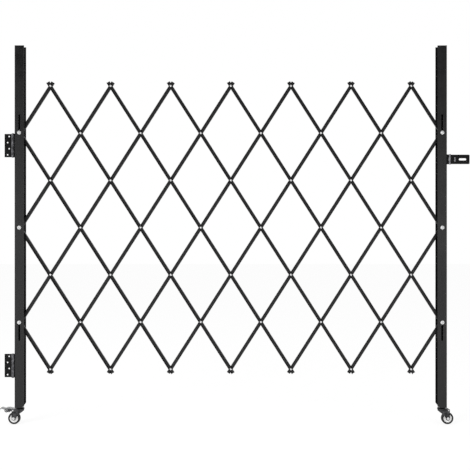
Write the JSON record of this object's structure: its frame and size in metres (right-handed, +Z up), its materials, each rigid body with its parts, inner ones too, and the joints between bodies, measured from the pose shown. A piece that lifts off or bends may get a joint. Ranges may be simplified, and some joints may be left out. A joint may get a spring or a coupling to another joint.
{
  "type": "folding security gate",
  "caption": "Folding security gate: a riveted lattice of channel slats between channel posts on swivel casters, with wall hinges on one post and a hinged hasp on the other.",
  "frame": {"origin": "on the floor under the middle of the whole gate drawn out to its full width, with the brake pedal and the hasp plate counted in", "axes": "+X from the hinged post to the post with the hasp, +Y to the back of the gate, +Z up"},
  "size_m": [2.1232, 0.0564, 1.7082],
  "materials": {
    "frame": "satin near-black powder coat",
    "hinge": "semi-gloss black paint",
    "zinc": "bright zinc plating",
    "tyre": "smooth black rubber",
    "wheel": "pale satin nylon"
  },
  "bodies": {
    "wall_hinges": {"upper_hinge_wall_leaf": "hinge", "upper_hinge_pin": "hinge", "lower_hinge_wall_leaf": "hinge", "lower_hinge_pin": "hinge"},
    "near_post": {"near_post": "frame", "upper_hinge_gate_leaf": "hinge", "lower_hinge_gate_leaf": "hinge", "near_foot_plate": "frame", "near_middle_bolt": "zinc", "near_middle_nut": "zinc", "near_caster_stem": "hinge", "near_caster_nut": "zinc"},
    "far_post": {"far_post": "frame", "far_foot_plate": "frame", "far_middle_bolt": "zinc", "far_middle_nut": "zinc", "far_caster_stem": "hinge", "far_caster_nut": "zinc", "hasp_bracket": "hinge", "hasp_pin": "hinge"},
    "near_caster": {"near_caster_fork": "hinge", "near_caster_axle": "zinc", "near_brake_pin": "zinc"},
    "near_wheel": {"near_caster_tyre": "tyre", "near_caster_rim": "wheel"},
    "brake_pedal": {"near_brake_pedal": "zinc"},
    "far_caster": {"far_caster_fork": "hinge", "far_caster_axle": "zinc"},
    "far_wheel": {"far_caster_tyre": "tyre", "far_caster_rim": "wheel"},
    "hasp_plate": {"hasp_plate": "hinge"},
    "rising_slat_01": {"rising_slat_01": "frame", "near_upper_bolt": "zinc", "near_upper_nut": "zinc"},
    "falling_slat_01": {"falling_slat_01": "frame"},
    "rising_slat_02": {"rising_slat_02": "frame"},
    "falling_slat_02": {"falling_slat_02": "frame"},
    "rising_slat_03": {"rising_slat_03": "frame", "near_lower_bolt": "zinc", "near_lower_nut": "zinc"},
    "falling_slat_03": {"falling_slat_03": "frame"},
    "rising_slat_04": {"rising_slat_04": "frame"},
    "falling_slat_04": {"falling_slat_04": "frame"},
    "rising_slat_05": {"rising_slat_05": "frame"},
    "falling_slat_05": {"falling_slat_05": "frame"},
    "rising_slat_06": {"rising_slat_06": "frame"},
    "falling_slat_06": {"falling_slat_06": "frame"},
    "rising_slat_07": {"rising_slat_07": "frame"},
    "falling_slat_07": {"falling_slat_07": "frame"},
    "rising_slat_08": {"rising_slat_08": "frame", "far_upper_bolt": "zinc", "far_upper_nut": "zinc"},
    "falling_slat_08": {"falling_slat_08": "frame"},
    "rising_slat_09": {"rising_slat_09": "frame"},
    "falling_slat_09": {"falling_slat_09": "frame"},
    "rising_slat_10": {"rising_slat_10": "frame", "far_lower_bolt": "zinc", "far_lower_nut": "zinc"},
    "falling_slat_10": {"falling_slat_10": "frame"}
  },
  "joints": [
    {"name": "gate_swing", "type": "hinge", "parent": "wall_hinges", "child": "near_post", "pos_m": [-0.99645, -0.01982, 0.76], "axis": [0, 0, -1], "range_deg": [0, 175]},
    {"name": "fold", "type": "hinge", "parent": "near_post", "child": "rising_slat_02", "pos_m": [-0.9676, -0.00283, 0.8881], "axis": [0, -1, 0], "range_deg": [0, 30.2]},
    {"name": "falling_slat_02_turn", "type": "hinge", "parent": "near_post", "child": "falling_slat_02", "pos_m": [-0.9676, -0.00283, 0.8881], "axis": [0, 1, 0], "range_deg": [0, 30.2]},
    {"name": "falling_slat_03_turn", "type": "hinge", "parent": "rising_slat_02", "child": "falling_slat_03", "pos_m": [-0.8316, -0.00283, 1.10167], "axis": [0, 1, 0], "range_deg": [0, 60.4]},
    {"name": "falling_slat_04_turn", "type": "hinge", "parent": "rising_slat_02", "child": "falling_slat_04", "pos_m": [-0.6956, -0.00283, 1.31525], "axis": [0, 1, 0], "range_deg": [0, 60.4]},
    {"name": "falling_slat_05_turn", "type": "hinge", "parent": "rising_slat_02", "child": "falling_slat_05", "pos_m": [-0.5596, -0.00283, 1.52882], "axis": [0, 1, 0], "range_deg": [0, 60.4]},
    {"name": "rising_slat_03_turn", "type": "hinge", "parent": "falling_slat_02", "child": "rising_slat_03", "pos_m": [-0.8316, -0.00283, 0.67453], "axis": [0, -1, 0], "range_deg": [0, 60.4]},
    {"name": "rising_slat_04_turn", "type": "hinge", "parent": "falling_slat_02", "child": "rising_slat_04", "pos_m": [-0.6956, -0.00283, 0.46095], "axis": [0, -1, 0], "range_deg": [0, 60.4]},
    {"name": "rising_slat_05_turn", "type": "hinge", "parent": "falling_slat_02", "child": "rising_slat_05", "pos_m": [-0.5596, -0.00283, 0.24738], "axis": [0, -1, 0], "range_deg": [0, 60.4]},
    {"name": "rising_slat_01_turn", "type": "hinge", "parent": "falling_slat_04", "child": "rising_slat_01", "pos_m": [-0.8316, -0.00283, 1.52882], "axis": [0, -1, 0], "range_deg": [0, 60.4]},
    {"name": "rising_slat_06_turn", "type": "hinge", "parent": "falling_slat_04", "child": "rising_slat_06", "pos_m": [-0.1516, -0.00283, 0.46095], "axis": [0, -1, 0], "range_deg": [0, 60.4]},
    {"name": "rising_slat_07_turn", "type": "hinge", "parent": "falling_slat_04", "child": "rising_slat_07", "pos_m": [-0.0156, -0.00283, 0.24738], "axis": [0, -1, 0], "range_deg": [0, 60.4]},
    {"name": "rising_slat_08_turn", "type": "hinge", "parent": "falling_slat_05", "child": "rising_slat_08", "pos_m": [0.2564, -0.00283, 0.24738], "axis": [0, -1, 0], "range_deg": [0, 60.4]},
    {"name": "falling_slat_06_turn", "type": "hinge", "parent": "rising_slat_05", "child": "falling_slat_06", "pos_m": [-0.0156, -0.00283, 1.10167], "axis": [0, 1, 0], "range_deg": [0, 60.4]},
    {"name": "falling_slat_07_turn", "type": "hinge", "parent": "rising_slat_05", "child": "falling_slat_07", "pos_m": [0.1204, -0.00283, 1.31525], "axis": [0, 1, 0], "range_deg": [0, 60.4]},
    {"name": "falling_slat_08_turn", "type": "hinge", "parent": "rising_slat_05", "child": "falling_slat_08", "pos_m": [0.2564, -0.00283, 1.52882], "axis": [0, 1, 0], "range_deg": [0, 60.4]},
    {"name": "falling_slat_01_turn", "type": "hinge", "parent": "rising_slat_04", "child": "falling_slat_01", "pos_m": [-0.8316, -0.00283, 0.24738], "axis": [0, 1, 0], "range_deg": [0, 60.4]},
    {"name": "rising_slat_09_turn", "type": "hinge", "parent": "falling_slat_06", "child": "rising_slat_09", "pos_m": [0.5284, -0.00283, 0.24738], "axis": [0, -1, 0], "range_deg": [0, 60.4]},
    {"name": "rising_slat_10_turn", "type": "hinge", "parent": "falling_slat_07", "child": "rising_slat_10", "pos_m": [0.8004, -0.00283, 0.24738], "axis": [0, -1, 0], "range_deg": [0, 60.4]},
    {"name": "falling_slat_09_turn", "type": "hinge", "parent": "rising_slat_07", "child": "falling_slat_09", "pos_m": [0.6644, -0.00283, 1.31525], "axis": [0, 1, 0], "range_deg": [0, 60.4]},
    {"name": "falling_slat_10_turn", "type": "hinge", "parent": "rising_slat_07", "child": "falling_slat_10", "pos_m": [0.8004, -0.00283, 1.52882], "axis": [0, 1, 0], "range_deg": [0, 60.4]},
    {"name": "far_post_turn", "type": "hinge", "parent": "rising_slat_09", "child": "far_post", "pos_m": [0.9364, -0.00283, 0.8881], "axis": [0, 1, 0], "range_deg": [0, 30.2]},
    {"name": "near_caster_swivel", "type": "hinge", "parent": "near_post", "child": "near_caster", "pos_m": [-0.9676, -0.00283, 0.068], "axis": [0, 0, 1], "continuous": true},
    {"name": "near_wheel_spin", "type": "hinge", "parent": "near_caster", "child": "near_wheel", "pos_m": [-0.9946, -0.00283, 0.027], "axis": [0, 1, 0], "continuous": true},
    {"name": "brake_press", "type": "hinge", "parent": "near_caster", "child": "brake_pedal", "pos_m": [-0.9986, -0.00283, 0.063], "axis": [0, -1, 0], "range_deg": [0, 15]},
    {"name": "far_caster_swivel", "type": "hinge", "parent": "far_post", "child": "far_caster", "pos_m": [0.9364, -0.00283, 0.068], "axis": [0, 0, 1], "continuous": true},
    {"name": "far_wheel_spin", "type": "hinge", "parent": "far_caster", "child": "far_wheel", "pos_m": [0.9634, -0.00283, 0.027], "axis": [0, 1, 0], "continuous": true},
    {"name": "hasp_swing", "type": "hinge", "parent": "far_post", "child": "hasp_plate", "pos_m": [0.9726, -0.01702, 1.19575], "axis": [0, 0, -1], "range_deg": [-90, 160]}
  ],
  "couplings": [
    {"joint": "falling_slat_02_turn", "follows": "fold", "ratio": 1},
    {"joint": "falling_slat_03_turn", "follows": "fold", "ratio": 2},
    {"joint": "falling_slat_04_turn", "follows": "fold", "ratio": 2},
    {"joint": "falling_slat_05_turn", "follows": "fold", "ratio": 2},
    {"joint": "rising_slat_03_turn", "follows": "fold", "ratio": 2},
    {"joint": "rising_slat_04_turn", "follows": "fold", "ratio": 2},
    {"joint": "rising_slat_05_turn", "follows": "fold", "ratio": 2},
    {"joint": "rising_slat_01_turn", "follows": "fold", "ratio": 2},
    {"joint": "rising_slat_06_turn", "follows": "fold", "ratio": 2},
    {"joint": "rising_slat_07_turn", "follows": "fold", "ratio": 2},
    {"joint": "rising_slat_08_turn", "follows": "fold", "ratio": 2},
    {"joint": "falling_slat_06_turn", "follows": "fold", "ratio": 2},
    {"joint": "falling_slat_07_turn", "follows": "fold", "ratio": 2},
    {"joint": "falling_slat_08_turn", "follows": "fold", "ratio": 2},
    {"joint": "falling_slat_01_turn", "follows": "fold", "ratio": 2},
    {"joint": "rising_slat_09_turn", "follows": "fold", "ratio": 2},
    {"joint": "rising_slat_10_turn", "follows": "fold", "ratio": 2},
    {"joint": "falling_slat_09_turn", "follows": "fold", "ratio": 2},
    {"joint": "falling_slat_10_turn", "follows": "fold", "ratio": 2},
    {"joint": "far_post_turn", "follows": "fold", "ratio": 1}
  ]
}
